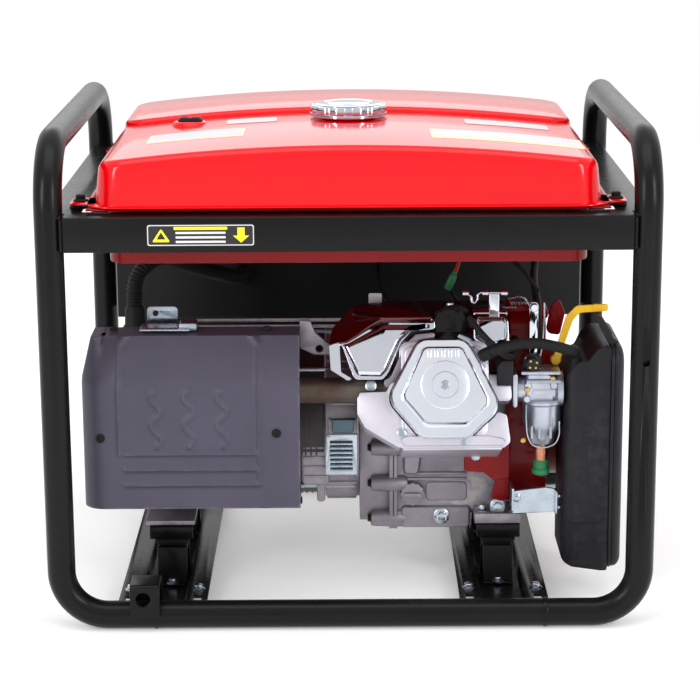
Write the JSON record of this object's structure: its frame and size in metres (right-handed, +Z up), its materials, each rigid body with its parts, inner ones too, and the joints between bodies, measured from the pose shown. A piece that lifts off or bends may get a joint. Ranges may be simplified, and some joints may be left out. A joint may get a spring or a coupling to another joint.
{
  "type": "portable generator",
  "caption": "Open-frame portable generator with an arched fuel tank, inclined single-cylinder engine, alternator, shielded muffler and side air cleaner.",
  "frame": {"origin": "middle of the footprint, on the surface that the base beams rest on", "axes": "+X along the crankshaft towards the recoil starter, +Y towards the control panel, +Z up"},
  "size_m": [0.694, 0.5816, 0.573],
  "materials": {
    "frame_black": "satin black powder coat",
    "black_sheet": "black painted sheet",
    "zinc": "zinc plated sheet",
    "tank_red": "glossy enamel",
    "engine_red": "dull dark paint",
    "chrome": "polished",
    "cast_aluminium": "as cast",
    "brushed_aluminium": "bright brushed",
    "shield_grey": "heat-resistant matte paint",
    "rubber": "matte",
    "black_plastic": "moulded, fine texture",
    "steel": "machined",
    "yellow_plastic": "moulded",
    "foam": "open foam",
    "gauge_window": "clear window over a pale dial"
  },
  "bodies": {
    "root": {"left_end_tube": "frame_black", "right_end_tube": "frame_black", "rear_bottom_tube": "frame_black", "front_bottom_tube": "frame_black", "tank_rail_ring": "frame_black", "left_base_beam": "frame_black", "right_base_beam": "frame_black", "rear_axle_bracket": "frame_black", "front_axle_bracket": "frame_black", "engine_mount_rear": "black_sheet", "engine_mount_front": "black_sheet", "alternator_mount_rear": "black_sheet", "alternator_mount_front": "black_sheet", "tank_upper_shell": "tank_red", "tank_lower_pan": "tank_red", "fuel_hose": "rubber", "spark_plug_boot": "rubber", "ignition_lead": "rubber", "breather_hose": "rubber", "upper_shroud": "chrome", "fuel_gauge": "gauge_window", "fuel_tap": "cast_aluminium", "crankcase": "cast_aluminium", "crankcase_cover": "cast_aluminium", "cylinder_head": "cast_aluminium", "carburetor": "cast_aluminium", "alternator_adaptor": "cast_aluminium", "stator": "cast_aluminium", "alternator_end_cover": "cast_aluminium", "air_cleaner_case": "black_plastic", "control_panel": "black_plastic", "cable_conduit": "black_plastic", "valve_cover": "brushed_aluminium", "fuel_solenoid": "brushed_aluminium", "lower_shroud": "zinc", "air_cleaner_bracket": "zinc", "muffler": "steel", "fan_housing": "engine_red", "recoil_cover": "engine_red", "air_filter": "foam", "muffler_shield": "shield_grey"},
    "cap_gasket": {"fuel_cap_gasket": "rubber"},
    "cap": {"fuel_cap": "chrome"},
    "fuel_tap_lever": {"fuel_tap_lever": "black_plastic"},
    "crankshaft": {"crankshaft_pto_half": "steel", "crankshaft_flywheel_half": "steel", "flywheel": "cast_aluminium", "rotor": "steel"},
    "piston": {"piston": "cast_aluminium"},
    "recoil_grip": {"recoil_grip": "black_plastic"},
    "choke": {"choke_lever": "yellow_plastic"},
    "governor": {"governor_arm": "zinc"},
    "throttle": {"throttle_lever": "zinc"},
    "air_cover": {"air_cleaner_cover": "black_plastic"},
    "air_clip": {"air_cleaner_clip": "black_plastic"},
    "dipstick": {"oil_dipstick": "black_plastic"},
    "socket_lid_1": {"socket_lid_1": "black_plastic"},
    "socket_lid_2": {"socket_lid_2": "black_plastic"},
    "engine_switch": {"engine_switch": "black_plastic"},
    "breaker": {"breaker_toggle": "black_plastic"}
  },
  "joints": [
    {"name": "cap_lift", "type": "slide", "parent": "root", "child": "cap_gasket", "axis": [0, 0, 1], "range_m": [0, 0.06]},
    {"name": "cap_turn", "type": "hinge", "parent": "cap_gasket", "child": "cap", "pos_m": [0.001, -0.018, 0.565], "axis": [0, 0, 1], "range_deg": [0, 90]},
    {"name": "fuel_tap_turn", "type": "hinge", "parent": "root", "child": "fuel_tap_lever", "pos_m": [0.256, 0.12, 0.394], "axis": [1, 0, 0], "range_deg": [0, 90]},
    {"name": "crankshaft_spin", "type": "hinge", "parent": "root", "child": "crankshaft", "pos_m": [0, -0.015, 0.186], "axis": [1, 0, 0], "continuous": true},
    {"name": "piston_stroke", "type": "slide", "parent": "root", "child": "piston", "axis": [0, -0.9239, 0.3827], "range_m": [-0.064, 0]},
    {"name": "recoil_pull", "type": "slide", "parent": "root", "child": "recoil_grip", "axis": [0, 1, 0], "range_m": [0, 0.12]},
    {"name": "choke_turn", "type": "hinge", "parent": "root", "child": "choke", "pos_m": [0.243, -0.15, 0.285], "axis": [0, 1, 0], "range_deg": [-50, 0]},
    {"name": "governor_swing", "type": "hinge", "parent": "root", "child": "governor", "pos_m": [0.2175, -0.139, 0.346], "axis": [0, 1, 0], "range_deg": [-9, 9]},
    {"name": "throttle_turn", "type": "hinge", "parent": "root", "child": "throttle", "pos_m": [0.218, -0.165, 0.278], "axis": [0, 0, 1], "range_deg": [-24, 24]},
    {"name": "air_cover_off", "type": "slide", "parent": "root", "child": "air_cover", "axis": [1, 0, 0], "range_m": [0, 0.06]},
    {"name": "air_clip_swing", "type": "hinge", "parent": "air_cover", "child": "air_clip", "pos_m": [0.312, -0.17, 0.3116], "axis": [0, 1, 0], "range_deg": [0, 95]},
    {"name": "dipstick_out", "type": "slide", "parent": "root", "child": "dipstick", "axis": [0, -1, 0], "range_m": [0, 0.075]},
    {"name": "socket_lid_1_open", "type": "hinge", "parent": "root", "child": "socket_lid_1", "pos_m": [-0.06, 0.2815, 0.377], "axis": [1, 0, 0], "range_deg": [0, 100]},
    {"name": "socket_lid_2_open", "type": "hinge", "parent": "root", "child": "socket_lid_2", "pos_m": [0.04, 0.2815, 0.377], "axis": [1, 0, 0], "range_deg": [0, 100]},
    {"name": "engine_switch_rock", "type": "hinge", "parent": "root", "child": "engine_switch", "pos_m": [0.166, 0.2785, 0.351], "axis": [1, 0, 0], "range_deg": [-8, 8]},
    {"name": "breaker_flip", "type": "hinge", "parent": "root", "child": "breaker", "pos_m": [-0.168, 0.2805, 0.35], "axis": [1, 0, 0], "range_deg": [-15, 15]}
  ],
  "couplings": [
    {"joint": "governor_swing", "follows": "throttle_turn", "ratio": 0.3333}
  ]
}
